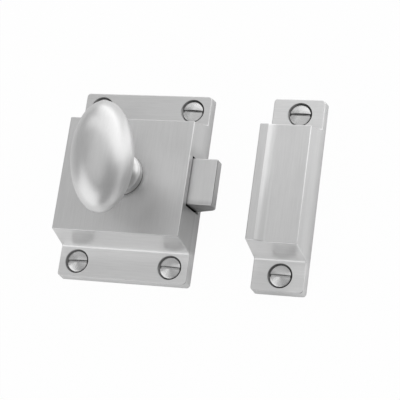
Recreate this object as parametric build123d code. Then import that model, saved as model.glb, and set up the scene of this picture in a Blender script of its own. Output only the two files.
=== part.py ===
from build123d import *
import math
import os

# Cupboard latch with a turn knob: a cast case that screws to the face of a cupboard door,
# the sprung bolt that its knob draws back, and the keeper that screws on beside it.
# The origin is the centre of the case's mounting face. X points at the keeper, Y up the
# door and Z out of it. The mounting face is z = 0, and the screws run into negative z.
# All sizes are in millimetres, and all angles in degrees.

# Plates that the case and the keeper share, as a matched pair
PLATE_HEIGHT = 63.5
PLATE_THICK = 4.0
PLATE_CORNER = 1.2
DEPTH = 15.5
BODY_FOOT_HALF = 21.4
END_LEAN = 12.5
SIDE_DRAFT = 3.5
FOOT_FILLET = 0.7
EDGE_ROUND = 0.35
SCREW_ROW_Y = 26.35

# Case walls, hollow and back plate
CASE_WIDTH = 44.5
SIDE_WALL = 2.75
END_WALL = 2.3
FRONT_WALL = 2.3
CASE_SCREW_X = 15.9
BACK_PLATE_THICK = 2.0
BACK_PLATE_INSET = 0.2
BACK_PLATE_LEDGE = 0.9
PLATE_CLEARANCE = 0.1
PLATE_ROUND = 1.0

# Bosses in the case's corners that take the back plate's small screws
BOSS_RADIUS = 2.8
BOSS_INSET_X = 3.1
BOSS_INSET_Y = 4.0
TAPPED_DEPTH = 7.0
SMALL_SHANK_RADIUS = 1.25
SMALL_HEAD_RADIUS = 2.3
SMALL_SCREW_LENGTH = 7.0
SMALL_SLOT_WIDTH = 0.6
SMALL_SLOT_DEPTH = 0.5
THREAD_CLEARANCE = 0.04

# Countersunk wood screws that hold the case and the keeper
SINK_RADIUS = 3.95
SINK_RIM = 0.3
CLEARANCE_HOLE_RADIUS = 2.0
HEAD_RADIUS = 3.5
HEAD_RIM = 0.15
HEAD_DOME = 0.6
HEAD_SEAT_GAP = 0.05
SHANK_RADIUS = 1.75
SHANK_BELOW_FACE = 0.5
THREAD_RADIUS = 1.5
SCREW_LENGTH = 19.0
SCREW_POINT = 3.0
SLOT_WIDTH = 1.05
SLOT_DEPTH = 0.9
CASE_SLOT_TURNS = [1.5, -0.8, 2.7, -1.3]
KEEPER_SLOT_TURNS = [0.5, -0.5]

# Bolt: a bevelled nose on a tail plate, with two upright arms that the cam pushes
BOLT_THROW = 8.3
BOLT_HALF_WIDTH = 7.6
BOLT_REACH = 7.5
BOLT_GAP = 0.15
APERTURE_SIDE_GAP = 0.6
APERTURE_FRONT_GAP = 0.4
APERTURE_LINTEL = 0.3
NOSE_BEVEL = 25.8
NOSE_FLAT = 9.4
NOSE_ROUND = 3.0
NOSE_EDGE = 0.4
NOSE_ROOT = 0.9
TAIL_THICK = 3.1
TAIL_HALF_WIDTH = 9.6
ARM_OUTER = 7.6
ARM_INNER = 4.7
ARM_FACE_X = -1.0
ARM_LENGTH = 3.7
ARM_TOP_GAP = 0.45
CROSSBAR_THICK = 1.5
SLOT_END_GAP = 0.2
SLOT_SIDE_GAP = 0.3
STOP_GAP = 0.2

# Knob, spindle and cam hub, which turn together about the z axis
KNOB_TURN = 90.0
KNOB_HALF_LENGTH = 17.8
KNOB_HALF_WIDTH = 9.65
KNOB_STAND = 18.5
KNOB_LEAN = 5.9
COLLAR_RADIUS = 6.9
COLLAR_TOP_RADIUS = 6.65
COLLAR_HEIGHT = 2.8
NECK_RADIUS = 4.7
NECK_FLARE_HEIGHT = 4.4
NECK_FILLET = 0.8
SPIGOT_RADIUS = 4.5
RUNNING_CLEARANCE = 0.05
SPINDLE_SQUARE = 4.6
SPINDLE_IN_KNOB = 13.4
JOURNAL_RADIUS = 2.3
JOURNAL_SUNK = 0.15
SQUARE_CLEARANCE = 0.05
GRUB_RADIUS = 1.5
GRUB_HEIGHT = 5.4
GRUB_SOCKET = 1.5
GRUB_SOCKET_DEPTH = 1.2
GRUB_SUNK = 0.3
HUB_CORE_RADIUS = 4.3
HUB_TIP_ROUND = 0.6
LOBE_BACK_ANGLE = 25.0
FLANK_STEPS = 8
CAM_GAP = 0.3
WASHER_THICK = 0.8
WASHER_RADIUS = 6.5
WASHER_GAP = 0.05
WASHER_BORE_GAP = 0.4
CLIP_THICK = 0.5
CLIP_RADIUS = 3.5
CLIP_GROOVE_DEPTH = 0.6
CLIP_MOUTH = 2.6
CLIP_GAP = 0.05
CLIP_LIFT = 0.55

# Spring between the case's side wall and the bolt's crossbar
SPRING_WIRE = 0.65
SPRING_DIAMETER = 5.6
SPRING_TURNS = 3
SPRING_END_GAP = 0.05
SPIGOT_PIN_RADIUS = 1.5
SPIGOT_PIN_LENGTH = 1.5

# Keeper: a box with no wall on the side that faces the bolt, and a raised lip there
KEEPER_WIDTH = 17.0
KEEPER_X = 51.5
KEEPER_WALL = 2.4
KEEPER_FRONT_WALL = 2.5
KEEPER_HOLE_SHIFT = 0.45
LIP_WIDTH = 2.7
LIP_RISE = 1.1
LIP_SLOPE = 24.0
LIP_BLEND = 4.0

# Planes and places worked out from the sizes above
FRONT_INNER_Z = DEPTH - FRONT_WALL
LEDGE_Z = BACK_PLATE_INSET + BACK_PLATE_THICK
CAVITY_X = CASE_WIDTH / 2 - SIDE_WALL
CAVITY_FOOT_HALF = BODY_FOOT_HALF - END_WALL
LEAN = math.tan(math.radians(END_LEAN))
DRAFT = math.tan(math.radians(SIDE_DRAFT))
BOSS_X = CAVITY_X - BOSS_INSET_X
BOSS_Y = CAVITY_FOOT_HALF - BOSS_INSET_Y
BASE_RADIUS = BOLT_THROW / math.radians(KNOB_TURN)
FLANK_START = -ARM_FACE_X - CAM_GAP
BOLT_BACK_Z = LEDGE_Z + BOLT_GAP
TAIL_TOP_Z = BOLT_BACK_Z + TAIL_THICK
TAIL_END_X = CAVITY_X - STOP_GAP
BOLT_END_X = CASE_WIDTH / 2 + BOLT_REACH
APERTURE_TOP_Z = FRONT_INNER_Z - APERTURE_LINTEL
BOLT_FRONT_Z = APERTURE_TOP_Z - APERTURE_FRONT_GAP
CROSSBAR_X = ARM_FACE_X - ARM_LENGTH - CROSSBAR_THICK
WASHER_TOP_Z = FRONT_INNER_Z - WASHER_GAP
HUB_TOP_Z = WASHER_TOP_Z - WASHER_THICK - 2 * WASHER_GAP
CLIP_TOP_Z = TAIL_TOP_Z + CLIP_LIFT + CLIP_THICK
HUB_BACK_Z = CLIP_TOP_Z + CLIP_GAP
HUB_THICK = HUB_TOP_Z - HUB_BACK_Z
ARM_TOP_Z = HUB_TOP_Z - ARM_TOP_GAP
SPRING_Z = (TAIL_TOP_Z + FRONT_INNER_Z) / 2
KNOB_CENTRE_Z = DEPTH + KNOB_STAND
SPINDLE_TOP_Z = FRONT_INNER_Z + SPINDLE_IN_KNOB
SCREW_SEAT_Z = PLATE_THICK - SINK_RIM
GRUB_Z = DEPTH + GRUB_HEIGHT


def yz_prism(points, x_low, x_high):
    """A closed outline of (y, z) points, extruded from one x to another."""
    face = make_face(Polyline(*points, close=True))
    return Pos(x_low, 0, 0) * extrude(Plane.YZ * face, x_high - x_low)


def xz_prism(wire, half_length):
    """A closed outline in x and z, extruded both ways along y."""
    return extrude(Plane.XZ * make_face(wire), half_length, both=True)


def block(x_range, y_range, z_range):
    """A box between two corners."""
    size = [high - low for low, high in (x_range, y_range, z_range)]
    return Pos(x_range[0], y_range[0], z_range[0]) * Box(
        *size, align=(Align.MIN, Align.MIN, Align.MIN)
    )


def rod(radius, z_low, z_high, x=0.0, y=0.0):
    """A cylinder along z between two heights."""
    return Pos(x, y, z_low) * Cylinder(
        radius, z_high - z_low, align=(Align.CENTER, Align.CENTER, Align.MIN)
    )


def turned(points):
    """A solid of revolution about z from (radius, z) points."""
    face = make_face(Polyline(*points, close=True))
    return revolve(Plane.XZ * face, Axis.Z)


def square_bar(side, z_low, z_high):
    """A square bar along z between two heights."""
    half = side / 2
    return block((-half, half), (-half, half), (z_low, z_high))


def body_outline(foot_half, z_low, z_high):
    """The (y, z) outline of a raised body whose ends lean inward above the plates."""
    top_half = foot_half - (z_high - PLATE_THICK) * LEAN
    return [
        (-foot_half, z_low),
        (foot_half, z_low),
        (foot_half, PLATE_THICK),
        (top_half, z_high),
        (-top_half, z_high),
        (-foot_half, PLATE_THICK),
    ]


def plated_body(front_z, x_low, x_high):
    """A flange plate with a raised body across its full width, its ends square."""
    plate_half = PLATE_HEIGHT / 2
    plate_top = plate_half - PLATE_THICK * DRAFT
    body_top = BODY_FOOT_HALF - (front_z - PLATE_THICK) * LEAN
    outline = [
        (-plate_half, 0),
        (plate_half, 0),
        (plate_top, PLATE_THICK),
        (BODY_FOOT_HALF, PLATE_THICK),
        (body_top, front_z),
        (-body_top, front_z),
        (-BODY_FOOT_HALF, PLATE_THICK),
        (-plate_top, PLATE_THICK),
    ]
    return yz_prism(outline, x_low, x_high)


def soften(body):
    """Round a casting's corners, its foot and then every edge that shows in front."""
    corners = [
        edge
        for edge in body.edges()
        if edge.center().Z < PLATE_THICK * 0.9 and abs(edge.tangent_at(0.5).Z) > 0.9
    ]
    body = fillet(corners, PLATE_CORNER)
    feet = [
        edge
        for edge in body.edges()
        if abs(abs(edge.center().Y) - BODY_FOOT_HALF) < EDGE_ROUND
        and abs(edge.center().Z - PLATE_THICK) < EDGE_ROUND
        and abs(edge.tangent_at(0.5).X) > 0.9
    ]
    body = fillet(feet, FOOT_FILLET)
    shown = [
        edge
        for edge in body.edges()
        if edge.center().Z > PLATE_THICK - EDGE_ROUND
        and not is_foot_line(edge)
        and not is_blend_line(edge)
    ]
    return fillet(shown, EDGE_ROUND)


def is_foot_line(edge):
    """True for the two long lines where a foot fillet meets the plate and the slope."""
    near_foot = abs(abs(edge.center().Y) - BODY_FOOT_HALF) < FOOT_FILLET * 1.2
    return near_foot and abs(edge.tangent_at(0.5).X) > 0.9


def is_blend_line(edge):
    """True for the lines in a front face where two smooth faces meet, as at a lip."""
    return edge.center().Z > PLATE_THICK * 1.2 and is_smooth(edge)


def is_smooth(edge):
    """True where the two faces at an edge share a tangent plane there."""
    parent = edge.topo_parent
    if parent is None:
        return False
    middle = edge.position_at(0.5)
    normals = [
        face.normal_at(middle)
        for face in parent.faces()
        if any(other.is_same(edge) for other in face.edges())
    ]
    return len(normals) == 2 and normals[0].dot(normals[1]) > 0.999


def screw_seat(x, y):
    """What a countersunk hole takes out of a plate."""
    cone_depth = SINK_RADIUS - CLEARANCE_HOLE_RADIUS
    points = [
        (0, -1),
        (CLEARANCE_HOLE_RADIUS, -1),
        (CLEARANCE_HOLE_RADIUS, SCREW_SEAT_Z - cone_depth),
        (SINK_RADIUS, SCREW_SEAT_Z),
        (SINK_RADIUS, PLATE_THICK + 1),
        (0, PLATE_THICK + 1),
    ]
    return Pos(x, y, 0) * turned(points)


def wood_screw(x, y, slot_turn):
    """A countersunk screw with a low dome, a plain shank and a plain thread core."""
    rim_low = SCREW_SEAT_Z - (SINK_RADIUS - HEAD_RADIUS - HEAD_SEAT_GAP * math.sqrt(2))
    rim_high = rim_low + HEAD_RIM
    neck_z = rim_low - (HEAD_RADIUS - SHANK_RADIUS)
    tip_z = rim_high - SCREW_LENGTH
    outline = Polyline(
        (0, tip_z),
        (THREAD_RADIUS, tip_z + SCREW_POINT),
        (THREAD_RADIUS, -SHANK_BELOW_FACE - (SHANK_RADIUS - THREAD_RADIUS)),
        (SHANK_RADIUS, -SHANK_BELOW_FACE),
        (SHANK_RADIUS, neck_z),
        (HEAD_RADIUS, rim_low),
        (HEAD_RADIUS, rim_high),
    )
    dome_radius = (HEAD_RADIUS**2 + HEAD_DOME**2) / (2 * HEAD_DOME)
    dome = RadiusArc((HEAD_RADIUS, rim_high), (0, rim_high + HEAD_DOME), -dome_radius)
    axis_line = Line((0, rim_high + HEAD_DOME), (0, tip_z))
    screw = revolve(Plane.XZ * make_face(outline + dome + axis_line), Axis.Z)
    top_z = rim_high + HEAD_DOME
    reach = HEAD_RADIUS + 1
    half_slot = SLOT_WIDTH / 2
    slot = block((-reach, reach), (-half_slot, half_slot), (top_z - SLOT_DEPTH, top_z + 1))
    return Pos(x, y, 0) * Rot(0, 0, slot_turn) * (screw - slot)


def case_screw_places():
    """The four screw holes of the case, as (x, y)."""
    return [(x, y) for y in (SCREW_ROW_Y, -SCREW_ROW_Y) for x in (-CASE_SCREW_X, CASE_SCREW_X)]


def keeper_screw_places():
    """The two screw holes of the keeper, as (x, y)."""
    return [(KEEPER_X + KEEPER_HOLE_SHIFT, y) for y in (SCREW_ROW_Y, -SCREW_ROW_Y)]


def boss_places():
    """The four bosses in the case's corners, as (x, y)."""
    return [(x, y) for y in (BOSS_Y, -BOSS_Y) for x in (-BOSS_X, BOSS_X)]


def back_plate_outline(clearance):
    """Half width and half height of the back plate's recess, less a clearance."""
    half_width = CAVITY_X + BACK_PLATE_LEDGE - clearance
    half_height = CAVITY_FOOT_HALF + BACK_PLATE_LEDGE - clearance
    return half_width, half_height


def make_case():
    """The cast case: flange plates and raised body, hollow behind."""
    half_width = CASE_WIDTH / 2
    front_half_width = half_width - DEPTH * DRAFT
    sides = xz_prism(
        Polyline(
            (-half_width, 0),
            (half_width, 0),
            (front_half_width, DEPTH),
            (-front_half_width, DEPTH),
            close=True,
        ),
        PLATE_HEIGHT,
    )
    case = soften(plated_body(DEPTH, -half_width, half_width) & sides)
    hollow = body_outline(CAVITY_FOOT_HALF, LEDGE_Z, FRONT_INNER_Z)
    case -= yz_prism(hollow, -CAVITY_X, CAVITY_X)
    recess_x, recess_y = back_plate_outline(0.0)
    recess = block((-recess_x, recess_x), (-recess_y, recess_y), (-1, LEDGE_Z))
    case -= fillet(recess.edges().filter_by(Axis.Z), PLATE_ROUND)
    for x, y in boss_places():
        case += rod(BOSS_RADIUS, LEDGE_Z, FRONT_INNER_Z, x, y)
        tapped = SMALL_SHANK_RADIUS + THREAD_CLEARANCE
        case -= rod(tapped, LEDGE_Z, LEDGE_Z + TAPPED_DEPTH, x, y)
    case += spring_pin(-CAVITY_X)
    aperture_y = BOLT_HALF_WIDTH + APERTURE_SIDE_GAP
    aperture_z = (LEDGE_Z, APERTURE_TOP_Z)
    case -= block((CAVITY_X - 1, half_width + 1), (-aperture_y, aperture_y), aperture_z)
    case -= rod(SPIGOT_RADIUS + RUNNING_CLEARANCE, LEDGE_Z, DEPTH + 1)
    for x, y in case_screw_places():
        case -= screw_seat(x, y)
    return case


def spring_pin(x):
    """A short pin along x that keeps an end of the spring in place."""
    pin = Cylinder(
        SPIGOT_PIN_RADIUS,
        SPIGOT_PIN_LENGTH,
        align=(Align.CENTER, Align.CENTER, Align.MIN),
    )
    return Pos(x, 0, SPRING_Z) * Rot(0, 90, 0) * pin


def small_screw_cone(gap):
    """The countersunk head of a back plate screw, widened by a gap for its seat."""
    head_radius = SMALL_HEAD_RADIUS + gap
    shank_radius = SMALL_SHANK_RADIUS + gap
    return [
        (0, BACK_PLATE_INSET),
        (head_radius, BACK_PLATE_INSET),
        (shank_radius, BACK_PLATE_INSET + head_radius - shank_radius),
    ]


def make_back_plate():
    """The flat plate that closes the case and carries the spindle's rear journal."""
    half_width, half_height = back_plate_outline(PLATE_CLEARANCE)
    plate = block((-half_width, half_width), (-half_height, half_height), (BACK_PLATE_INSET, LEDGE_Z))
    plate = fillet(plate.edges().filter_by(Axis.Z), PLATE_ROUND)
    plate -= rod(JOURNAL_RADIUS + RUNNING_CLEARANCE, -1, LEDGE_Z + 1)
    gap = HEAD_SEAT_GAP * math.sqrt(2)
    for x, y in boss_places():
        cone = small_screw_cone(gap)
        plate -= Pos(x, y, 0) * turned(cone + [(0, cone[-1][1])])
        plate -= rod(SMALL_SHANK_RADIUS + gap, -1, LEDGE_Z + 1, x, y)
    return plate


def make_back_plate_screws():
    """Four small countersunk screws that hold the back plate to the bosses."""
    screws = []
    for x, y in boss_places():
        shank_end = BACK_PLATE_INSET + SMALL_SCREW_LENGTH
        outline = small_screw_cone(0) + [
            (SMALL_SHANK_RADIUS, shank_end),
            (0, shank_end),
        ]
        half_slot = SMALL_SLOT_WIDTH / 2
        slot_z = (BACK_PLATE_INSET - 1, BACK_PLATE_INSET + SMALL_SLOT_DEPTH)
        reach = SMALL_HEAD_RADIUS + 1
        slot = block((-reach, reach), (-half_slot, half_slot), slot_z)
        screws.append(Pos(x, y, 0) * (turned(outline) - slot))
    return screws


def nose_outline():
    """The bolt nose seen from below: flat in front, bevelled behind, round at its tip."""
    bevel = math.tan(math.radians(NOSE_BEVEL))
    bevel_x = BOLT_END_X - NOSE_FLAT
    corner_z = BOLT_BACK_Z + NOSE_FLAT * bevel
    root_x = TAIL_END_X - NOSE_ROOT
    return FilletPolyline(
        (bevel_x, BOLT_BACK_Z),
        (BOLT_END_X, corner_z),
        (BOLT_END_X, BOLT_FRONT_Z),
        radius=NOSE_ROUND,
    ) + Polyline(
        (BOLT_END_X, BOLT_FRONT_Z),
        (root_x, BOLT_FRONT_Z),
        (root_x, BOLT_BACK_Z),
        (bevel_x, BOLT_BACK_Z),
    )


def make_bolt():
    """The sliding bolt: nose, tail plate with its slot, crossbar and two arms."""
    nose = xz_prism(nose_outline(), BOLT_HALF_WIDTH)
    outside = [edge for edge in nose.edges() if edge.center().X > TAIL_END_X - NOSE_ROOT + EDGE_ROUND]
    nose = fillet([edge for edge in outside if not is_nose_tangent(edge)], NOSE_EDGE)
    tail = block(
        (CROSSBAR_X, TAIL_END_X),
        (-TAIL_HALF_WIDTH, TAIL_HALF_WIDTH),
        (BOLT_BACK_Z, TAIL_TOP_Z),
    )
    slot_radius = JOURNAL_RADIUS + SLOT_SIDE_GAP
    slot_ends = (-SLOT_END_GAP, BOLT_THROW + SLOT_END_GAP)
    slot = block(slot_ends, (-slot_radius, slot_radius), (0, TAIL_TOP_Z + 1))
    for x in slot_ends:
        slot += rod(slot_radius, 0, TAIL_TOP_Z + 1, x)
    bolt = nose + tail - slot
    upright_z = (TAIL_TOP_Z, ARM_TOP_Z)
    crossbar_x = (CROSSBAR_X, CROSSBAR_X + CROSSBAR_THICK)
    bolt += block(crossbar_x, (-ARM_OUTER, ARM_OUTER), upright_z)
    arm_x = (CROSSBAR_X + CROSSBAR_THICK, ARM_FACE_X)
    for low, high in ((ARM_INNER, ARM_OUTER), (-ARM_OUTER, -ARM_INNER)):
        bolt += block(arm_x, (low, high), upright_z)
    return bolt + spring_pin(CROSSBAR_X - SPIGOT_PIN_LENGTH)


def is_nose_tangent(edge):
    """True for an edge across the nose where its round tip meets a flat."""
    across = abs(edge.tangent_at(0.5).Y) > 0.9
    at_front = edge.center().Z > BOLT_FRONT_Z - EDGE_ROUND
    at_bevel_start = edge.center().Z < BOLT_BACK_Z + EDGE_ROUND
    return across and not at_front and not at_bevel_start


def make_spring():
    """The bolt's compression spring, from the side wall to the crossbar."""
    start_x = -CAVITY_X + SPRING_END_GAP + SPRING_WIRE / 2
    end_x = CROSSBAR_X - SPRING_END_GAP - SPRING_WIRE / 2
    length = end_x - start_x
    coil_radius = (SPRING_DIAMETER - SPRING_WIRE) / 2
    coil = Helix(pitch=length / SPRING_TURNS, height=length, radius=coil_radius)
    section = Plane(origin=coil.position_at(0), z_dir=coil.tangent_at(0)) * Circle(SPRING_WIRE / 2)
    return Pos(start_x, 0, SPRING_Z) * Rot(0, 90, 0) * sweep(section, coil)


def flank_point(contact):
    """A point of the cam's involute flank, from the contact's place on the line of action."""
    turn = -(contact - FLANK_START) / BASE_RADIUS
    x = -contact * math.cos(turn) - BASE_RADIUS * math.sin(turn)
    y = -contact * math.sin(turn) + BASE_RADIUS * math.cos(turn)
    return (x, y)


def cam_lobe():
    """One lobe: the involute flank pushes an arm as far as the hub turns, in step with it."""
    contacts = [FLANK_START + BOLT_THROW * step / FLANK_STEPS for step in range(FLANK_STEPS + 1)]
    flank = [flank_point(contact) for contact in contacts]
    back_angle = math.radians(LOBE_BACK_ANGLE)
    back = (HUB_CORE_RADIUS * math.cos(back_angle), HUB_CORE_RADIUS * math.sin(back_angle))
    edge = Spline(*flank)
    rest = Polyline(flank[-1], back, (0, 0), flank[0])
    lobe = extrude(make_face(edge + rest), HUB_THICK)
    tip = [e for e in lobe.edges().filter_by(Axis.Z) if abs(e.center().Y - flank[-1][1]) < CAM_GAP]
    return Pos(0, 0, HUB_BACK_Z) * fillet(tip, HUB_TIP_ROUND)


def make_hub():
    """The cam hub: a core with a square bore and a lobe for each way of turning."""
    lobe = cam_lobe()
    hub = rod(HUB_CORE_RADIUS, HUB_BACK_Z, HUB_TOP_Z) + lobe + mirror(lobe, Plane.XZ)
    return hub - square_bar(SPINDLE_SQUARE + 2 * SQUARE_CLEARANCE, HUB_BACK_Z - 1, HUB_TOP_Z + 1)


def make_washer():
    """The washer between the hub and the inside of the case's front wall."""
    low = WASHER_TOP_Z - WASHER_THICK
    bore = SPINDLE_SQUARE / math.sqrt(2) + WASHER_BORE_GAP
    return rod(WASHER_RADIUS, low, WASHER_TOP_Z) - rod(bore, low - 1, WASHER_TOP_Z + 1)


def make_spindle():
    """The spindle: square in the hub and the knob, round in the bolt's slot and the plate."""
    spindle = square_bar(SPINDLE_SQUARE, HUB_BACK_Z, SPINDLE_TOP_Z)
    spindle += rod(JOURNAL_RADIUS, BACK_PLATE_INSET + JOURNAL_SUNK, HUB_BACK_Z)
    groove_z = (CLIP_TOP_Z - CLIP_THICK - CLIP_GAP, CLIP_TOP_Z + CLIP_GAP)
    core = JOURNAL_RADIUS - CLIP_GROOVE_DEPTH
    groove = rod(JOURNAL_RADIUS + 1, *groove_z) - rod(core, *groove_z)
    return spindle - groove


def make_clip():
    """The open clip in the spindle's groove, behind the hub."""
    low = CLIP_TOP_Z - CLIP_THICK
    bore = JOURNAL_RADIUS - CLIP_GROOVE_DEPTH + CLIP_GAP
    clip = rod(CLIP_RADIUS, low, CLIP_TOP_Z) - rod(bore, low - 1, CLIP_TOP_Z + 1)
    half_mouth = CLIP_MOUTH / 2
    return clip - block((0, CLIP_RADIUS + 1), (-half_mouth, half_mouth), (low - 1, CLIP_TOP_Z + 1))


def neck_outline():
    """Half the knob's neck: spigot, collar drum and the flare that runs up to the grip."""
    spigot_low = FRONT_INNER_Z + RUNNING_CLEARANCE
    collar_low = DEPTH + RUNNING_CLEARANCE
    collar_top = DEPTH + COLLAR_HEIGHT
    flare_top = collar_top + NECK_FLARE_HEIGHT
    below = Polyline(
        (0, spigot_low),
        (SPIGOT_RADIUS, spigot_low),
        (SPIGOT_RADIUS, collar_low),
        (COLLAR_RADIUS, collar_low),
        (COLLAR_TOP_RADIUS, collar_top),
    )
    flare = Spline(
        (COLLAR_TOP_RADIUS, collar_top),
        (NECK_RADIUS, flare_top),
        tangents=[(-1, 0.35), (0, 1)],
    )
    above = Polyline(
        (NECK_RADIUS, flare_top),
        (NECK_RADIUS, KNOB_CENTRE_Z - KNOB_HALF_WIDTH / 2),
        (0, KNOB_CENTRE_Z - KNOB_HALF_WIDTH / 2),
        (0, spigot_low),
    )
    return below + flare + above


def make_knob():
    """The knob: an egg-shaped grip lying across its neck, with a square socket."""
    egg = scale(Sphere(1), by=(KNOB_HALF_WIDTH, KNOB_HALF_WIDTH, KNOB_HALF_LENGTH))
    grip = Pos(0, 0, KNOB_CENTRE_Z) * Rot(0, 0, KNOB_LEAN) * Rot(90, 0, 0) * egg
    neck = revolve(Plane.XZ * make_face(neck_outline()), Axis.Z)
    knob = grip + neck
    seam = [
        edge
        for edge in knob.edges()
        if edge.length > NECK_RADIUS * 3
        and DEPTH + COLLAR_HEIGHT + NECK_FLARE_HEIGHT < edge.center().Z < KNOB_CENTRE_Z
        and edge.bounding_box().size.X < NECK_RADIUS * 2.2
    ]
    socket = SPINDLE_SQUARE + 2 * SQUARE_CLEARANCE
    knob = fillet(seam, NECK_FILLET)
    knob -= square_bar(socket, FRONT_INNER_Z - 1, SPINDLE_TOP_Z + RUNNING_CLEARANCE)
    return knob - grub_rod(GRUB_RADIUS + THREAD_CLEARANCE, 0, COLLAR_RADIUS)


def grub_rod(radius, inner, outer):
    """A cylinder along x on the knob's left, between two distances from the z axis."""
    bar = Cylinder(radius, outer - inner, align=(Align.CENTER, Align.CENTER, Align.MIN))
    return Pos(-inner, 0, GRUB_Z) * Rot(0, -90, 0) * bar


def make_grub_screw():
    """The headless screw in the neck that holds the knob to the spindle."""
    inner = SPINDLE_SQUARE / 2 + HEAD_SEAT_GAP
    outer = NECK_RADIUS - GRUB_SUNK
    key = RegularPolygon(GRUB_SOCKET / 2, 6, major_radius=False)
    socket = Pos(-outer, 0, GRUB_Z) * Rot(0, 90, 0) * extrude(key, GRUB_SOCKET_DEPTH)
    return grub_rod(GRUB_RADIUS, inner, outer) - socket


def keeper_sides():
    """The keeper's section across its width: mouth and raised lip on the left."""
    half = KEEPER_WIDTH / 2
    lip_z = DEPTH + LIP_RISE
    crease_x = -half + LIP_WIDTH
    slope_end = crease_x + LIP_RISE / math.tan(math.radians(LIP_SLOPE))
    front_right = half - DEPTH * DRAFT
    return FilletPolyline(
        (crease_x, lip_z),
        (slope_end, DEPTH),
        (front_right, DEPTH),
        radius=LIP_BLEND,
    ) + Polyline(
        (front_right, DEPTH),
        (half, 0),
        (-half, 0),
        (-half, lip_z),
        (crease_x, lip_z),
    )


def make_keeper():
    """The cast keeper: a box that is open towards the bolt and behind."""
    half = KEEPER_WIDTH / 2
    sides = xz_prism(keeper_sides(), PLATE_HEIGHT)
    keeper = soften(plated_body(DEPTH + LIP_RISE, -half, half) & sides)
    inner_half = BODY_FOOT_HALF - END_WALL
    pocket = body_outline(inner_half, -1, DEPTH - KEEPER_FRONT_WALL)
    keeper -= yz_prism(pocket, -half - 1, half - KEEPER_WALL)
    for x, y in keeper_screw_places():
        keeper -= screw_seat(x - KEEPER_X, y)
    return Pos(KEEPER_X, 0, 0) * keeper


def screws_at(places, turns):
    """A set of wood screws, one at each place."""
    return [wood_screw(x, y, turn) for (x, y), turn in zip(places, turns)]


def main():
    """Write one file for each named piece."""
    nodes = {
        "case": make_case(),
        "back_plate": make_back_plate(),
        "back_plate_screws": Compound(children=make_back_plate_screws()),
        "case_screws": Compound(children=screws_at(case_screw_places(), CASE_SLOT_TURNS)),
        "latch_bolt": make_bolt(),
        "bolt_spring": make_spring(),
        "cam_hub": make_hub(),
        "hub_washer": make_washer(),
        "spindle": make_spindle(),
        "retaining_clip": make_clip(),
        "knob": make_knob(),
        "knob_grub_screw": make_grub_screw(),
        "keeper": make_keeper(),
        "keeper_screws": Compound(children=screws_at(keeper_screw_places(), KEEPER_SLOT_TURNS)),
    }
    os.makedirs("parts", exist_ok=True)
    for name, shape in nodes.items():
        export_step(shape, f"parts/{name}.step")


main()
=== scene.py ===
import bpy
import bmesh
import math
from mathutils import Matrix, Vector


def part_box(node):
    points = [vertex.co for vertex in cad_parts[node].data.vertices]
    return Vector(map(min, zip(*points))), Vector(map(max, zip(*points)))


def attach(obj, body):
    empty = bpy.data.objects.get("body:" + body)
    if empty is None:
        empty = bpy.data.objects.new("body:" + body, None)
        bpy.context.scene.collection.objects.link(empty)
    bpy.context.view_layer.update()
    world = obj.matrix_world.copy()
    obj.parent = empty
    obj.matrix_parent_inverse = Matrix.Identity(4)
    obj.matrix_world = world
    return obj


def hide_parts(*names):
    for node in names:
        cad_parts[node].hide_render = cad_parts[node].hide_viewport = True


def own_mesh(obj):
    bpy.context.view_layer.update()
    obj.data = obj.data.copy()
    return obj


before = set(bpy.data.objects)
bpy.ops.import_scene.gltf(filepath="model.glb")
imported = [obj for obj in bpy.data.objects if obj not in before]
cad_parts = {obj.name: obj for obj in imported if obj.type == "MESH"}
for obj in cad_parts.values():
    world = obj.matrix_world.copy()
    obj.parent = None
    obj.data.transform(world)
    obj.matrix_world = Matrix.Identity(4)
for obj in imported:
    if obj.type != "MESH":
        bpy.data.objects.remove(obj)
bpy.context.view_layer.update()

MM = 0.001


# Sizes and places of the case, the bolt, the keeper and their screws, in millimetres

HALF_LENGTH = 31.75
CASE_HALF_WIDTH = 22.25
CASE_FOOT_HALF = 22.2
SIDE_DRAFT = 0.0612
FLANGE_Z = 4.0
SLOPE_FOOT_Z = 4.7
FRONT_Z = 15.5
BOLT_HALF = 7.6
SCREW_ROW = 26.35
CASE_SCREW_X = 15.9
KEEPER_SCREW_X = 51.95
KEEPER_FOOT_X = 55.5
KEEPER_FOOT_HALF = 4.5
NOSE_X = 26.0
NOSE_HALF = 4.0
SINK_RADIUS = 3.95

# The knob

KNOB_HALF_WIDTH = 9.65
KNOB_HALF_LENGTH = 17.8
KNOB_CENTRE_Z = 34.0
KNOB_LEAN = math.radians(5.9)
NECK_RADIUS = 4.7
NECK_FILLET = 0.9
NECK_LOW = 22.7
SPIGOT_RADIUS = 4.5
SPIGOT_LOW = 13.25
SPIGOT_BEVEL = 0.2
COLLAR_RADIUS = 6.88
COLLAR_TOP_RADIUS = 6.65
COLLAR_LOW = 15.55
COLLAR_HIGH = 18.3
COLLAR_HOLLOW = 0.2
COLLAR_ROUNDING = 0.3

# The wood screws

HEAD_RADIUS = 3.42
SEAT_Z = 3.32
RIM_Z = 3.47
DOME_Z = 4.07
SLOT_HALF = 0.46
SLOT_FLOOR_Z = 2.95
SHANK_RADIUS = 1.75
CORE_RADIUS = 1.3
THREAD_TOP_Z = -0.6
THREAD_END_Z = -12.6
TIP_Z = -15.5
PITCH = 1.41
RIDGE_HEIGHT = 0.5
RIDGE_HALF = 0.38
RIDGE_END = 0.3
CREST_HALF = 0.05

# The bolt's spring

COIL_RADIUS = 2.45
WIRE_RADIUS = 0.3
ACTIVE_TURNS = 5

# Tones from black at 0 to white at 1, and how rough the metals are

NICKEL = 0.70
KNOB_NICKEL = 0.68
# Painted shade: the dark tone inside the countersinks, and in the gaps at the knob's foot and
# round the screw heads
HOLE_SHADE_TONE = 0.07
GAP_SHADE_TONE = 0.05
SATIN_ROUGHNESS = 0.38
BOLT_ROUGHNESS = 0.40
HEAD_ROUGHNESS = 0.26


# Materials: grey metals, whose tone goes by the place on the object and by how a face looks, which
# paints much of their light and shade into the colour

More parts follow.
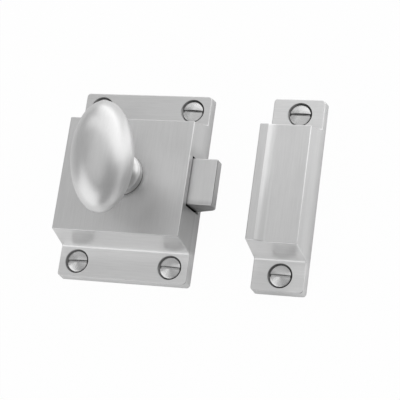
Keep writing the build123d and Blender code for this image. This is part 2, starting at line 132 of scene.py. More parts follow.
class Value:
    """A number that a node gives out, which the usual signs join to others by further nodes."""

    def __init__(self, tree, socket):
        self.tree = tree
        self.socket = socket

    def __add__(self, other):
        return self.tree.math("ADD", self, other)

    def __sub__(self, other):
        return self.tree.math("SUBTRACT", self, other)

    def __rsub__(self, other):
        return self.tree.math("SUBTRACT", other, self)

    def __mul__(self, other):
        return self.tree.math("MULTIPLY", self, other)

    def __truediv__(self, other):
        return self.tree.math("DIVIDE", self, other)

    def __abs__(self):
        return self.tree.math("ABSOLUTE", self)

    __radd__ = __add__
    __rmul__ = __mul__


class Tree:
    """A new material, and a short way to write its nodes."""

    def __init__(self, name):
        self.material = bpy.data.materials.new(name)
        self.material.use_nodes = True
        self.material.node_tree.nodes.clear()

    def node(self, kind, **settings):
        made = self.material.node_tree.nodes.new(kind)
        for key, value in settings.items():
            setattr(made, key, value)
        return made

    def link(self, value, socket):
        """Feeds a socket with a value, with another node's socket or with a plain number."""
        if isinstance(value, Value):
            value = value.socket
        if isinstance(value, bpy.types.NodeSocket):
            self.material.node_tree.links.new(value, socket)
        else:
            socket.default_value = value

    def place(self):
        """Where a point lies on its object, in millimetres."""
        metres = self.node("ShaderNodeTexCoord").outputs["Object"]
        return self.stretched(metres, (1 / MM, 1 / MM, 1 / MM))

    def normal(self):
        """The way in which the surface faces, as x, y and z."""
        return self.split(self.node("ShaderNodeNewGeometry").outputs["Normal"])

    def stretched(self, vector, scale):
        made = self.node("ShaderNodeMapping")
        self.link(vector, made.inputs["Vector"])
        made.inputs["Scale"].default_value = scale
        return made.outputs["Vector"]

    def split(self, vector):
        made = self.node("ShaderNodeSeparateXYZ")
        self.link(vector, made.inputs[0])
        return [Value(self, socket) for socket in made.outputs]

    def combine(self, x, y, z):
        made = self.node("ShaderNodeCombineXYZ")
        for value, socket in zip((x, y, z), made.inputs):
            self.link(value, socket)
        return made.outputs[0]

    def noise(self, vector, scale=1.0, detail=2.0, roughness=0.5):
        """Noise about zero, which reaches about half of one both ways."""
        made = self.node("ShaderNodeTexNoise")
        self.link(vector, made.inputs["Vector"])
        made.inputs["Scale"].default_value = scale
        made.inputs["Detail"].default_value = detail
        made.inputs["Roughness"].default_value = roughness
        return Value(self, made.outputs["Fac"]) - 0.5

    def math(self, kind, *values):
        made = self.node("ShaderNodeMath", operation=kind)
        for value, socket in zip(values, made.inputs):
            self.link(value, socket)
        return Value(self, made.outputs[0])

    def larger(self, a, b):
        return self.math("MAXIMUM", a, b)

    def length(self, x, y):
        return self.math("SQRT", x * x + y * y)

    def spread(self, value, low, high, to_low, to_high):
        """Maps low..high smoothly onto to_low..to_high, and holds the ends."""
        made = self.node("ShaderNodeMapRange", interpolation_type="SMOOTHSTEP")
        for item, socket in zip((value, low, high, to_low, to_high), made.inputs):
            self.link(item, socket)
        return Value(self, made.outputs[0])

    def rise(self, value, low, high):
        """Zero up to low, and one from high on."""
        return self.spread(value, low, high, 0.0, 1.0)

    def fall(self, value, low, high):
        """One up to low, and zero from high on."""
        return self.spread(value, low, high, 1.0, 0.0)

    def mix(self, share, a, b):
        made = self.node("ShaderNodeMix", data_type="FLOAT")
        for value, socket in zip((share, a, b), (made.inputs[0], made.inputs[2], made.inputs[3])):
            self.link(value, socket)
        return Value(self, made.outputs[0])

    def where(self, share, factor):
        """A factor that counts by a share, and is one without it."""
        return self.mix(share, 1.0, factor)

    def bump(self, height, strength, depth):
        made = self.node("ShaderNodeBump")
        made.inputs["Strength"].default_value = strength
        made.inputs["Distance"].default_value = depth * MM
        self.link(height, made.inputs["Height"])
        return made.outputs[0]

    def metal(self, tone, roughness, normal):
        """The shader of a grey metal."""
        grey = self.node("ShaderNodeCombineColor")
        for socket in grey.inputs[:3]:
            self.link(tone, socket)
        made = self.node("ShaderNodeBsdfPrincipled")
        made.inputs["Metallic"].default_value = 1.0
        self.link(grey.outputs[0], made.inputs["Base Color"])
        self.link(roughness, made.inputs["Roughness"])
        self.link(normal, made.inputs["Normal"])
        return made

    def blend(self, share, first, second):
        """The first shader, with a share of the second."""
        made = self.node("ShaderNodeMixShader")
        self.link(share, made.inputs[0])
        self.link(first.outputs[0], made.inputs[1])
        self.link(second.outputs[0], made.inputs[2])
        return made

    def finished(self, shader):
        """The material, with a shader for its surface."""
        made = self.node("ShaderNodeOutputMaterial")
        self.link(shader.outputs[0], made.inputs["Surface"])
        return self.material


def off_screw(t, x, y, screw_x):
    """How far along x and y a point lies from the nearest screw of a set, and how far away."""
    off_x = x - t.math("SIGN", x) * screw_x
    off_y = y - t.math("SIGN", y) * SCREW_ROW
    return off_x, off_y, t.length(off_x, off_y)


def facing_right(t):
    """How much a face looks to the right, as the walls do on that side."""
    return t.rise(t.normal()[0], 0.6, 0.85)


def facing_low_end(t):
    """How much a face looks down the latch, as the lower slopes do."""
    return t.fall(t.normal()[1], -0.5, -0.3)


def steep(t):
    """How much a face stands upright on the door."""
    return t.fall(abs(t.normal()[2]), 0.35, 0.6)


def upright_brushing(t, z):
    """How much a point is brushed along y rather than x: the front and the side faces are."""
    on_front = t.rise(z, FRONT_Z - 0.7, FRONT_Z - 0.2)
    on_side = t.rise(abs(t.normal()[0]), 0.75, 0.9)
    return t.larger(on_front, on_side)


def painted_hole_shade(t, point, screw_x):
    """How much painted shade a point gets inside the countersinks, more so the deeper it lies and
    less where it faces right.
    """
    x, y, z = point
    inside = t.fall(off_screw(t, x, y, screw_x)[2], SINK_RADIUS - 0.06, SINK_RADIUS + 0.02)
    depth = t.spread(z, FLANGE_Z - 0.4, FLANGE_Z - 0.02, 0.92, 0.6)
    turned_away = t.spread(t.normal()[0], 0.1, 0.6, 1.0, 0.65)
    return inside * depth * turned_away


def painted_edge_light(t, point):
    """Rounded edges: painted shade where they face up or down the latch, a painted highlight along
    the front's right.
    """
    _, y, z = point
    normal_x, normal_y, normal_z = t.normal()
    painted_highlight = t.rise(normal_x, 0.15, 0.35) * t.rise(normal_z, 0.12, 0.3)
    gain = t.spread(y, -15, 5, 0.1, 0.2)
    painted_highlight = painted_highlight * t.spread(z, FRONT_Z - 1.1, FRONT_Z - 0.6, 0.0, gain)
    rounded = t.rise(normal_z, 0.25, 0.45) * t.rise(abs(normal_y), 0.1, 0.3)
    facing_down = t.fall(normal_y, -0.1, 0.1)
    at_foot = t.spread(z, FLANGE_Z - 0.02, FLANGE_Z + 0.01, 0.28, 0.0) * facing_down
    on_body = t.spread(z, SLOPE_FOOT_Z, SLOPE_FOOT_Z + 0.2, 0.0, 0.16)
    return 1 + painted_highlight - rounded * (at_foot + on_body)


def painted_flange_light(t, point, outer, inner):
    """Painted light on the lower flange, graded from its outer end to the foot of the slope."""
    _, y, z = point
    on_flange = t.fall(z, FLANGE_Z, FLANGE_Z + 0.2) * t.fall(y, -22, -20)
    return t.where(on_flange, t.spread(y, -27.5, -22.5, outer, inner))


def case_painted_light(t, point):
    """The case's painted light and shade: shade inside the bolt's opening, a painted shadow on the
    wall over the bolt, and lighter and darker grades of the wall, slope, flange and front.
    """
    x, y, z = point
    beside_bolt = t.fall(abs(y), BOLT_HALF + 0.7, BOLT_HALF + 0.9)
    jamb = beside_bolt * t.rise(abs(t.normal()[1]), 0.5, 0.8) * t.spread(x, 17, 18, 0.0, 0.96)

    # Painted shade and the bolt's painted shadow on the right wall, and painted shade on the lower
    # slope
    on_wall = facing_right(t) * t.rise(z, FLANGE_Z - 0.1, FLANGE_Z + 0.3)
    over_bolt = t.rise(y, 7, 8) * t.spread(y, 8, 13, 0.16, 0.0)
    wall = (t.spread(z, 5, 14, 1.06, 0.94) - over_bolt) * t.spread(y, -9, 9, 0.84, 0.93)
    on_slope = facing_low_end(t) * t.rise(x, -14, -6)
    slope = 1 - on_slope * t.spread(z, SLOPE_FOOT_Z, SLOPE_FOOT_Z + 0.8, 0.0, 0.07)

    # Front: painted shade towards the lower right, a painted lighter patch beside the knob,
    # lighter towards the upper end
    lower_right = t.spread(x - y, 16, 34, 1.0, 0.86)
    beside_knob = t.spread(t.length(x - 5, y + 8), 2, 8, 1.2, 1.0)
    upper_end = t.spread(y, 8, 18, 1.0, 1.05)
    front = t.where(
        t.rise(z, FRONT_Z - 0.5, FRONT_Z - 0.2),
        lower_right * beside_knob * upper_end,
    )
    return (
        t.where(jamb, 0.04)
        * painted_flange_light(t, point, 1.08, 1.26)
        * t.mix(on_wall, slope, wall)
        * front
    )


def keeper_painted_light(t, point):
    """The keeper's painted light and shade: paler towards its top, on its lower slope, flange and
    corner, darker on its wall towards the front, and a painted highlight and shade beside the lip.
    """
    x, y, z = point
    overall = t.spread(y, -32, 32, 1.0, 1.14)
    wall = t.where(facing_right(t), t.spread(z, 5, 14, 1.03, 0.87))
    beside_lip = t.fall(x, 49, 50) * t.rise(t.normal()[0], 0.1, 0.3)
    step = t.spread(x, 46.4, 47.5, 1.06, 0.87) * t.spread(y, -20, 20, 0.97, 1.03)
    slope = facing_low_end(t) * t.rise(z, SLOPE_FOOT_Z, 9)
    corner = t.rise(x, 53, 57) * t.fall(y, -25, -22)
    return (
        overall
        * wall
        * t.where(beside_lip, step)
        * painted_flange_light(t, point, 1.0, 1.12)
        * t.where(slope, 1.11)
        * t.where(corner, 1.09)
    )


def knob_painted_light(t, tone):
    """The knob's painted light and shade: shade at the collar's rim and under the grip, light on
    the grip's right side, shade on its upper and lower right sides, and a painted contact shadow
    where it enters the case.
    """
    z = t.split(t.place())[2]
    normal_x, normal_y, normal_z = t.normal()
    upright = steep(t)
    on_grip = t.rise(z, 23, 26)

    collar_rim = t.spread(z, COLLAR_HIGH - 0.4, COLLAR_HIGH - 0.15, 0.1, 0.0)
    collar_rim = collar_rim * t.spread(normal_y, -0.6, 0.3, 1.0, 0.3) * upright
    under_grip = (1 - on_grip) * t.spread(normal_y, -0.7, 0.1, 0.3, 0.0)
    tone = tone * (1 - t.larger(collar_rim, under_grip))

    painted_light_side = t.larger(t.rise(normal_y, -0.1, 0.15), t.rise(normal_z, 0.0, 0.15))
    painted_light_side = painted_light_side * t.spread(normal_x, 0.78, 0.98, 0.0, 0.32)
    painted_light_side = painted_light_side * t.spread(normal_y, -0.15, 0.1, 0.3, 1.0)
    upper = t.spread(normal_y, 0.4, 0.7, 0.0, 0.08)
    lower_right = t.rise(normal_x, 0.1, 0.5) * t.spread(normal_y, -0.75, -0.5, 0.1, 0.0)
    tone = tone * (1 + (painted_light_side - upper - lower_right) * on_grip)

    painted_contact_shade = t.spread(z, COLLAR_LOW + 0.6, COLLAR_LOW + 0.85, 0.9, 0.0)
    return t.mix(painted_contact_shade * upright, tone, GAP_SHADE_TONE)


def bolt_painted_shade(t, tone):
    """The bolt's painted shade: below, on its end, along its front's lower edge, and on its sides
    inside the case.
    """
    x, y, z = t.split(t.place())
    normal_x, normal_y, normal_z = t.normal()
    below = t.fall(normal_y, -0.9, -0.6)
    end = t.rise(normal_x, 0.5, 0.75) * t.rise(normal_z, -0.3, -0.1)
    low_edge = t.rise(normal_z, 0.4, 0.7) * t.spread(y, -BOLT_HALF, 2.2 - BOLT_HALF, 0.24, 0.0)
    tone = tone * t.where(below, 0.5)
    tone = tone * t.where(end, t.spread(normal_z, 0.05, 0.3, 0.66, 0.45))
    tone = tone * (1 - low_edge)

    wall_x = CASE_HALF_WIDTH - z * SIDE_DRAFT
    inside = t.fall(x - wall_x, -0.05, 0.3)
    sides = t.spread(abs(normal_y), 0.5, 0.8, 0.0, 0.97)
    return t.mix(inside * sides, tone, 0.03)


def satin_nickel(name, screw_x, shade):
    """Satin plate, brushed along y on the front and sides and along x elsewhere."""
    t = Tree(name)
    place = t.place()
    point = t.split(place)
    upright = upright_brushing(t, point[2])

    def brushed(along, across, **settings):
        """Noise drawn out along the brushing, with so many waves to a millimetre."""
        along_x = t.noise(t.stretched(place, (along, across, across)), **settings)
        along_y = t.noise(t.stretched(place, (across, along, across)), **settings)
        return t.mix(upright, along_x, along_y)

    fine = brushed(0.11, 2.0, detail=3.0, roughness=0.7)
    broad = brushed(0.04, 0.5)
    cloud = t.noise(place, scale=0.09, detail=3.0)
    tone = NICKEL + 0.13 * fine + 0.05 * broad + 0.04 * cloud
    # Painted shade in the countersinks, painted light and shade on the edges, and the piece's own
    # painted light and shade
    tone = t.mix(painted_hole_shade(t, point, screw_x), tone, HOLE_SHADE_TONE)
    tone = tone * painted_edge_light(t, point) * shade(t, point)
    shader = t.metal(tone, SATIN_ROUGHNESS + 0.12 * fine, t.bump(fine, 0.2, 0.012))
    shader.inputs["Anisotropic"].default_value = 0.5
    t.link(t.combine(upright, 1 - upright, 0.0), shader.inputs["Tangent"])
    return t.finished(shader)


def grained_metal(name, base, rough, grain, depth, drawn=1.0, shade=None, lean=None):
    """A metal with so many grains to a millimetre and so deep a bump.

    Where drawn is below one, the grains are drawn out along y. A shade, where given, paints light
    and shade into the tone by place. Where a lean is given, the brushing spreads the highlight in
    that direction.
    """
    t = Tree(name)
    place = t.place()
    fine = t.noise(t.stretched(place, (grain, grain * drawn, grain)), detail=3.0, roughness=0.6)
    cloud = t.noise(place, scale=grain / 25)
    tone = base + 0.09 * fine + 0.04 * cloud
    if shade is not None:
        tone = shade(t, tone)
    shader = t.metal(tone, rough + 0.08 * fine, t.bump(fine, 0.3, depth))
    if lean is not None:
        shader.inputs["Anisotropic"].default_value = 0.5
        way = t.node("ShaderNodeVectorTransform", vector_type="VECTOR")
        way.convert_from = "OBJECT"
        way.convert_to = "WORLD"
        way.inputs[0].default_value = (math.cos(lean), math.sin(lean), 0)
        t.link(way.outputs[0], shader.inputs["Tangent"])
    return t.finished(shader)


def turned_head(name, screw_x):
    """A screw's metal: heads faced on a lathe, so that the light fans out from the middle, with a
    painted fan of highlight and shade, and painted shade in the gap round the head and on the
    slot's floor.
    """
    t = Tree(name)
    place = t.place()
    x, y, z = t.split(place)
    off_x, off_y, away = off_screw(t, x, y, screw_x)
    rings = t.combine(away * 1.8, off_x * 0.06, off_y * 0.06)
    fine = t.noise(rings, detail=3.0, roughness=0.6)
    grain = t.noise(place, scale=1.5)
    tone = NICKEL + 0.10 * fine + 0.05 * grain

    # A painted fan of highlight and shade over the quarters of each head, strongest on the lower
    # half of the lower screws
    painted_fan_slant = off_x * off_y / (away * away)
    lower_half = t.spread(y, -1, 1, 0.55, 0.1)
    tone = tone * (1 + painted_fan_slant * t.spread(off_y, -0.3, 0.3, lower_half, 0.08))

    # Painted shade in the gap round the head, and on the slot's floor
    gap_shade = t.spread(z, FLANGE_Z - 0.15, FLANGE_Z, 0.9, 0.0)
    tone = t.mix(gap_shade * steep(t), tone, GAP_SHADE_TONE)
    tone = tone * t.spread(z, SLOT_FLOOR_Z, SLOT_FLOOR_Z + 0.1, 0.75, 1.0)
    shader = t.metal(tone, HEAD_ROUGHNESS + 0.08 * fine, t.bump(fine, 0.3, 0.006))
    shader.inputs["Anisotropic"].default_value = 0.85
    t.link(t.combine(off_x, off_y, 0.0), shader.inputs["Tangent"])
    return t.finished(shader)


case_finish = satin_nickel("satin_nickel", CASE_SCREW_X, case_painted_light)
keeper_finish = satin_nickel("satin_nickel_keeper", KEEPER_SCREW_X, keeper_painted_light)
knob_finish = grained_metal(
    "knob_nickel", KNOB_NICKEL, SATIN_ROUGHNESS, grain=2.0, depth=0.006, drawn=0.1,
    shade=knob_painted_light, lean=KNOB_LEAN,
)
bolt_finish = grained_metal(
    "bolt_nickel", NICKEL, BOLT_ROUGHNESS, grain=1.8, depth=0.01, drawn=0.1, shade=bolt_painted_shade,
)
case_screw_finish = turned_head("screw_nickel", CASE_SCREW_X)
keeper_screw_finish = turned_head("screw_nickel_keeper", KEEPER_SCREW_X)
steel_finish = grained_metal("plated_steel", 0.55, 0.35, grain=1.5, depth=0.01)
cast_finish = grained_metal("cast_metal", 0.4, 0.5, grain=0.9, depth=0.02)
spring_finish = grained_metal("spring_steel", 0.42, 0.3, grain=1.5, depth=0.005)
dark_finish = grained_metal("dark_steel", 0.12, 0.4, grain=1.5, depth=0.005)

finishes = {
    "case": case_finish,
    "keeper": keeper_finish,
    "latch_bolt": bolt_finish,
    "back_plate": steel_finish,
    "back_plate_screws": steel_finish,
    "hub_washer": steel_finish,
    "spindle": steel_finish,
    "cam_hub": cast_finish,
    "retaining_clip": spring_finish,
    "knob_grub_screw": dark_finish,
}
for node, finish in finishes.items():
    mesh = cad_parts[node].data
    mesh.materials.clear()
    mesh.materials.append(finish)


# Pieces are drawn in millimetres as bmeshes

def plain_object(name, bm):
    """An object of the scene from a bmesh, which is used up."""
    mesh = bpy.data.meshes.new(name)
    bm.to_mesh(mesh)
    bm.free()
    made = bpy.data.objects.new(name, mesh)
    bpy.context.scene.collection.objects.link(made)
    return made


def new_piece(name, bm, finish, sharp_angle=40.0):
    """A piece from a bmesh in millimetres, shaded smooth but for its sharp edges."""
    bmesh.ops.recalc_face_normals(bm, faces=bm.faces)
    bmesh.ops.scale(bm, vec=(MM, MM, MM), verts=bm.verts)
    piece = plain_object(name, bm)
    piece.data.shade_smooth()
    piece.data.set_sharp_from_angle(angle=math.radians(sharp_angle))
    piece.data.materials.append(finish)
    return piece


def around(radius, angle, z):
    """A point at a radius and an angle about the z axis."""
    return Vector((radius * math.cos(angle), radius * math.sin(angle), z))


def lathe(bm, profiles):
    """Skins rings of points: profiles[k] is the (radius, z) line at the k-th of equal angles."""
    turns = len(profiles)
    rings = []
    for k, line in enumerate(profiles):
        angle = 2 * math.pi * k / turns
        rings.append([bm.verts.new(around(r, angle, z)) for r, z in line[1:-1]])
    low = bm.verts.new((0, 0, profiles[0][0][1]))
    high = bm.verts.new((0, 0, profiles[0][-1][1]))
    for k in range(turns):
        here, there = rings[k], rings[(k + 1) % turns]
        bm.faces.new((low, there[0], here[0]))
        for i in range(len(here) - 1):
            bm.faces.new((here[i], there[i], there[i + 1], here[i + 1]))
        bm.faces.new((high, here[-1], there[-1]))


def skin(bm, rings):
    """Joins rings of equal count into a bar that is closed at both ends."""
    count = len(rings[0])
    for a, b in zip(rings, rings[1:]):
        for k in range(count):
            m = (k + 1) % count
            bm.faces.new((a[k], b[k], b[m], a[m]))
    bm.faces.new(rings[0][::-1])
    bm.faces.new(rings[-1])


def arc(centre_r, centre_z, radius, start, end, steps):
    """Points on an arc in the (radius, z) plane, between two angles in degrees."""
    points = []
    for i in range(steps + 1):
        a = math.radians(start + (end - start) * i / steps)
        points.append((centre_r + radius * math.cos(a), centre_z + radius * math.sin(a)))
    return points


def bezier(a, b, c, d, steps):
    """Points on a cubic curve, its ends left out."""
    points = []
    for i in range(1, steps):
        t = i / steps
        weights = ((1 - t) ** 3, 3 * t * (1 - t) ** 2, 3 * t * t * (1 - t), t ** 3)
        points.append(tuple(sum(w * p[n] for w, p in zip(weights, (a, b, c, d))) for n in (0, 1)))
    return points


# The knob: one smooth skin, from the spigot in the case to the top of the grip

def foot_line():
    """The (radius, z) line of the spigot, the collar and the neck, up to the neck's fillet."""
    underside = COLLAR_LOW + COLLAR_HOLLOW
    line = [(0.0, SPIGOT_LOW), (SPIGOT_RADIUS - SPIGOT_BEVEL, SPIGOT_LOW)]
    line += [(SPIGOT_RADIUS, SPIGOT_LOW + SPIGOT_BEVEL), (SPIGOT_RADIUS, underside)]
    line += [(COLLAR_RADIUS - 0.38, underside), (COLLAR_RADIUS - 0.18, COLLAR_LOW + 0.05)]
    line += [(COLLAR_RADIUS, COLLAR_LOW + 0.25)]
    rounding_r, rounding_z = COLLAR_TOP_RADIUS - COLLAR_ROUNDING, COLLAR_HIGH - COLLAR_ROUNDING
    line += arc(rounding_r, rounding_z, COLLAR_ROUNDING, 5, 70, 5)
    collar_top = (COLLAR_TOP_RADIUS - 0.25, COLLAR_HIGH)
    collar_pull = (COLLAR_TOP_RADIUS - 1.3, COLLAR_HIGH + 0.4)
    neck_pull = (NECK_RADIUS, NECK_LOW - 2.4)
    neck = (NECK_RADIUS, NECK_LOW)
    return line + bezier(collar_top, collar_pull, neck_pull, neck, 14) + [neck]


def grip_section(angle):
    """The knob's (radius, z) line at an angle, from the bottom of the spigot to the top."""
    across = angle - KNOB_LEAN
    wide = 1 / math.hypot(math.cos(across) / KNOB_HALF_WIDTH, math.sin(across) / KNOB_HALF_LENGTH)
    tall = KNOB_HALF_WIDTH
    centre_r = NECK_RADIUS + NECK_FILLET

    def off_grip(phi):
        """A point that stands off the grip by the fillet's radius, and the normal there."""
        nr, nz = math.cos(phi) / wide, math.sin(phi) / tall
        size = math.hypot(nr, nz)
        nr, nz = nr / size, nz / size
        r = wide * math.cos(phi) + NECK_FILLET * nr
        z = KNOB_CENTRE_Z + tall * math.sin(phi) + NECK_FILLET * nz
        return r, z, nr, nz

    low, high = -math.pi / 2, -0.05
    halvings = 60
    for _ in range(halvings):
        middle = (low + high) / 2
        if off_grip(middle)[0] < centre_r:
            low = middle
        else:
            high = middle
    fillet_at = (low + high) / 2
    _, fillet_z, nr, nz = off_grip(fillet_at)
    end = math.degrees(math.atan2(-nz, -nr))
    line = foot_line() + arc(centre_r, fillet_z, NECK_FILLET, 180, end, 8)
    steps = 110
    for i in range(1, steps):
        phi = fillet_at + (math.pi / 2 - fillet_at) * i / steps
        line.append((wide * math.cos(phi), KNOB_CENTRE_Z + tall * math.sin(phi)))
    line.append((0.0, KNOB_CENTRE_Z + tall))
    return line


KNOB_TURNS = 200
knob_skin = bmesh.new()
lathe(knob_skin, [grip_section(2 * math.pi * k / KNOB_TURNS) for k in range(KNOB_TURNS)])
knob = new_piece("turn_knob", knob_skin, knob_finish)
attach(knob, "knob_set")
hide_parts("knob")


# The wood screws: domed slotted heads, plain necks and real threads

def screw_line():
    """The (radius, z) line of a screw without its slot and thread, from the tip to the dome."""
    rise = DOME_Z - RIM_Z
    dome_radius = (HEAD_RADIUS**2 + rise**2) / (2 * rise)
    half = math.degrees(math.asin((HEAD_RADIUS - 0.1) / dome_radius))
    line = [(0.0, TIP_Z), (0.25, TIP_Z + 0.35), (CORE_RADIUS, THREAD_END_Z)]
    line += [(CORE_RADIUS, THREAD_TOP_Z), (SHANK_RADIUS, THREAD_TOP_Z + 0.4)]
    line += [(SHANK_RADIUS, SEAT_Z - (HEAD_RADIUS - SHANK_RADIUS))]
    line += [(HEAD_RADIUS - 0.04, SEAT_Z - 0.04), (HEAD_RADIUS, SEAT_Z)]
    line += [(HEAD_RADIUS, RIM_Z - 0.05)]
    return line + arc(0.0, DOME_Z - dome_radius, dome_radius, 90 - half, 90, 12)


def slotted_screw():
    """The mesh of a screw with its slot along x."""
    body = bmesh.new()
    sides = 96
    lathe(body, [screw_line()] * sides)
    bmesh.ops.recalc_face_normals(body, faces=body.faces)
    slot = bmesh.new()
    bmesh.ops.create_cube(slot, size=1.0)
    slot_length, slot_height = 9.0, 1.5
    for v in slot.verts:
        z = SLOT_FLOOR_Z + (v.co.z + 0.5) * slot_height
        v.co = Vector((v.co.x * slot_length, v.co.y * 2 * SLOT_HALF, z))
    whole = plain_object("screw_body", body)
    blade = plain_object("screw_slot", slot)
    cut = whole.modifiers.new("slot", "BOOLEAN")
    cut.operation = "DIFFERENCE"
    cut.solver = "EXACT"
    cut.object = blade
    graph = bpy.context.evaluated_depsgraph_get()
    made = bpy.data.meshes.new_from_object(whole.evaluated_get(graph))
    for item in (whole, blade):
        bpy.data.objects.remove(item)
    return made


def thread(bm, place):
    """The thread: a sharp ridge that winds down the core and fades at both ends."""
    steps_a_turn, fading_steps = 40, 20
    steps = int((THREAD_TOP_Z - TIP_Z - RIDGE_END) / PITCH * steps_a_turn)
    faded_height, root_height = -0.01, -0.07
    rings = []
    for i in range(steps + 1):
        z = THREAD_TOP_Z - PITCH * i / steps_a_turn
        angle = -2 * math.pi * i / steps_a_turn
        down_tip = max(0.0, (THREAD_END_Z - z) / (THREAD_END_Z - TIP_Z))
        core = CORE_RADIUS * (1 - down_tip)
        fade = min(1.0, i / fading_steps, (steps - i) / fading_steps)
        crest = core + faded_height + (RIDGE_HEIGHT - faded_height) * fade
        root = core + root_height
        half = RIDGE_HALF * max(fade, 0.2)
        section = ((root, half), (crest, CREST_HALF), (crest, -CREST_HALF), (root, -half))
        rings.append([bm.verts.new(place @ around(r, angle, z + up)) for r, up in section])
    skin(bm, rings)


def screw_set(name, screws, body, node, finish):
    """One piece of several screws, each given by its x, its y and its slot's turn in degrees."""
    bm = bmesh.new()
    for x, y, slot_turn in screws:
        place = Matrix.Translation((x, y, 0)) @ Matrix.Rotation(math.radians(slot_turn), 4, "Z")
        screw = slotted_screw()
        screw.transform(place)
        bm.from_mesh(screw)
        thread(bm, place)
    piece = new_piece(name, bm, finish, 30.0)
    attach(piece, body)
    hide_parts(node)


case_screws = (
    (-CASE_SCREW_X, SCREW_ROW, 1.5),
    (CASE_SCREW_X, SCREW_ROW, -0.8),
    (-CASE_SCREW_X, -SCREW_ROW, 2.7),
    (CASE_SCREW_X, -SCREW_ROW, -1.3),
)
keeper_screws = (
    (KEEPER_SCREW_X, SCREW_ROW, 0.5),
    (KEEPER_SCREW_X, -SCREW_ROW, -0.5),
)
screw_set("case_wood_screws", case_screws, "housing", "case_screws", case_screw_finish)
screw_set("keeper_wood_screws", keeper_screws, "housing", "keeper_screws", keeper_screw_finish)


# The bolt's spring, with its end turns closed

def coil_spring(start_x, end_x, z):
    """A wire that winds along x from one end to the other."""
    bm = bmesh.new()
    wire_points, steps_a_turn = 12, 36
    turns = ACTIVE_TURNS + 2
    closed_pitch = 2 * WIRE_RADIUS * 1.05
    length = end_x - start_x - 2 * WIRE_RADIUS
    open_pitch = (length - 2 * closed_pitch) / ACTIVE_TURNS
    rings = []
    for i in range(turns * steps_a_turn + 1):
        turn = i / steps_a_turn
        open_turns = min(max(turn - 1, 0), ACTIVE_TURNS)
        along = closed_pitch * (turn - open_turns) + open_pitch * open_turns
        out = Vector((0, math.cos(2 * math.pi * turn), math.sin(2 * math.pi * turn)))
        centre = Vector((start_x + WIRE_RADIUS + along, 0, z)) + out * COIL_RADIUS
        ring = []
        for k in range(wire_points):
            b = 2 * math.pi * k / wire_points
            sideways = Vector((WIRE_RADIUS * math.sin(b), 0, 0))
            ring.append(bm.verts.new(centre + out * WIRE_RADIUS * math.cos(b) + sideways))
        rings.append(ring)
    skin(bm, rings)
    return bm


spring_low, spring_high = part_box("bolt_spring")
spring_z = (spring_low.z + spring_high.z) / 2
spring_wire = coil_spring(spring_low.x / MM, spring_high.x / MM, spring_z / MM)
spring = new_piece("coil_spring", spring_wire, spring_finish)
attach(spring, "housing")
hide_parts("bolt_spring")
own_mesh(spring)


# The floor, which is the face of the door

def off_foot(t, x, y, foot_x, half_x, half_y):
    """How far a point of the floor lies from a rectangular foot that stands on it."""
    over_x = t.larger(abs(x - foot_x) - half_x, 0.0)
    over_y = t.larger(abs(y) - half_y, 0.0)
    return t.length(over_x, over_y)


def bearing(t, x, y, azimuth):
    """The cosine between a point's direction from the middle and an azimuth, in degrees."""
    a = math.radians(azimuth)
    return (x * math.cos(a) + y * math.sin(a)) / t.length(x, y)


def floor_finish():
    """White paper that is evenly bright to the eye; in the metal's reflections it glows as painted
    light, dimmed as a painted shadow near the feet and brighter or dimmer by bearing.
    """
    t = Tree("floor_white")
    x, y, _ = t.split(t.place())
    # Painted light and shadow for reflections: a painted shadow near the feet of the case, the
    # bolt and the keeper, and brighter or dimmer glow by bearing
    near_case = off_foot(t, x, y, 0, CASE_FOOT_HALF, HALF_LENGTH)
    near_keeper = off_foot(t, x, y, KEEPER_FOOT_X, KEEPER_FOOT_HALF, HALF_LENGTH)
    near_bolt = off_foot(t, x, y, NOSE_X, NOSE_HALF, BOLT_HALF)
    nearest = t.math("MINIMUM", t.math("MINIMUM", near_case, near_bolt), near_keeper)
    clear_of_feet = t.spread(nearest, 0, 9, 0.05, 1.0)
    above_right = t.spread(bearing(t, x, y, 64), 0.25, 0.55, 0.15, 1.0)
    below_left = t.spread(bearing(t, x, y, -122), 0.5, 0.8, 0.15, 0.65)
    beside_keeper = t.rise(x, 56, 61) * t.spread(x, 72, 90, 1.0, 0.15)
    above_left = t.spread(bearing(t, x, y, 150), 0.6, 0.95, 1.0, 0.2)
    bright = t.larger(t.larger(above_right, below_left), beside_keeper)

    path = t.node("ShaderNodeLightPath").outputs
    mirrored = clear_of_feet * bright * above_left * Value(t, path["Is Glossy Ray"])
    seen = Value(t, path["Is Camera Ray"]) * 0.97
    paper = t.node("ShaderNodeBsdfDiffuse")
    paper.inputs["Color"].default_value = (0.9, 0.9, 0.9, 1)
    glow = t.node("ShaderNodeEmission")
    lit = t.blend(t.larger(seen, mirrored), paper, glow)
    from_below = t.node("ShaderNodeNewGeometry").outputs["Backfacing"]
    return t.finished(t.blend(from_below, lit, t.node("ShaderNodeBsdfTransparent")))


FLOOR_HALF = 6.0
FLOOR_Z = -0.05
floor_sheet = bmesh.new()
bmesh.ops.create_grid(floor_sheet, x_segments=1, y_segments=1, size=FLOOR_HALF)
floor = plain_object("floor", floor_sheet)
floor.location = (0, 0, FLOOR_Z * MM)
floor.data.materials.append(floor_finish())


# The studio's light, its lamps and the camera

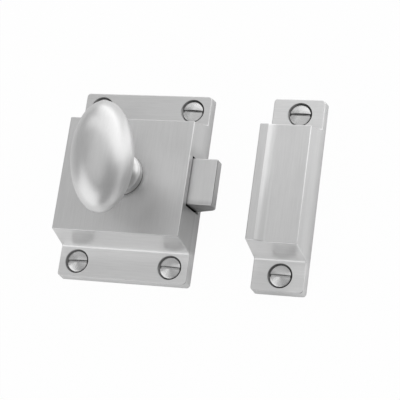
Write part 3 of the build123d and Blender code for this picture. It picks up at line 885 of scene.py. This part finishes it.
world = bpy.data.worlds.new("studio")
bpy.context.scene.world = world
world.use_nodes = True
background = world.node_tree.nodes["Background"]
background.inputs["Color"].default_value = (1, 1, 1, 1)
background.inputs["Strength"].default_value = 0.37

LAMP_TARGET = Vector((20 * MM, 0, 10 * MM))
LAMP_DISTANCE = 0.6


def softbox(name, azimuth, elevation, width, height, radiance):
    """A soft rectangular lamp, in metres, that faces the latch from a direction in degrees."""
    data = bpy.data.lights.new(name, "AREA")
    data.shape = "RECTANGLE"
    data.size = width
    data.size_y = height
    data.energy = radiance * width * height * math.pi
    lamp = bpy.data.objects.new(name, data)
    a, e = math.radians(azimuth), math.radians(elevation)
    way = around(math.cos(e), a, math.sin(e))
    lamp.location = LAMP_TARGET + way * LAMP_DISTANCE
    lamp.rotation_euler = way.to_track_quat("Z", "Y").to_euler()
    bpy.context.scene.collection.objects.link(lamp)


softbox("lamp_right_low", azimuth=62, elevation=7.6, width=1.45, height=0.15, radiance=1.47)
softbox("lamp_right", azimuth=62, elevation=25, width=1.45, height=0.22, radiance=0.88)
softbox("lamp_right_high", azimuth=78, elevation=43, width=1.60, height=0.20, radiance=0.75)
softbox("lamp_left_low", azimuth=-126, elevation=7.6, width=0.98, height=0.15, radiance=0.89)
softbox("lamp_left", azimuth=-126, elevation=34, width=0.98, height=0.42, radiance=0.88)
softbox("lamp_back", azimuth=152, elevation=28, width=0.60, height=0.44, radiance=0.16)
softbox("lamp_top", azimuth=70, elevation=80, width=0.75, height=0.75, radiance=0.37)

CAMERA_PLACE = (151.084, -109.984, 380.229)
CAMERA_TURN = (17.489476, 16.537345, 8.238225)
camera_data = bpy.data.cameras.new("camera")
camera_data.sensor_width = 36
camera_data.lens = 116.175
camera_data.clip_start = 0.01
camera_data.clip_end = 50
camera = bpy.data.objects.new("camera", camera_data)
camera.location = Vector(CAMERA_PLACE) * MM
camera.rotation_euler = [math.radians(angle) for angle in CAMERA_TURN]
bpy.context.scene.collection.objects.link(camera)
bpy.context.scene.camera = camera
bpy.context.scene.view_settings.view_transform = "Standard"
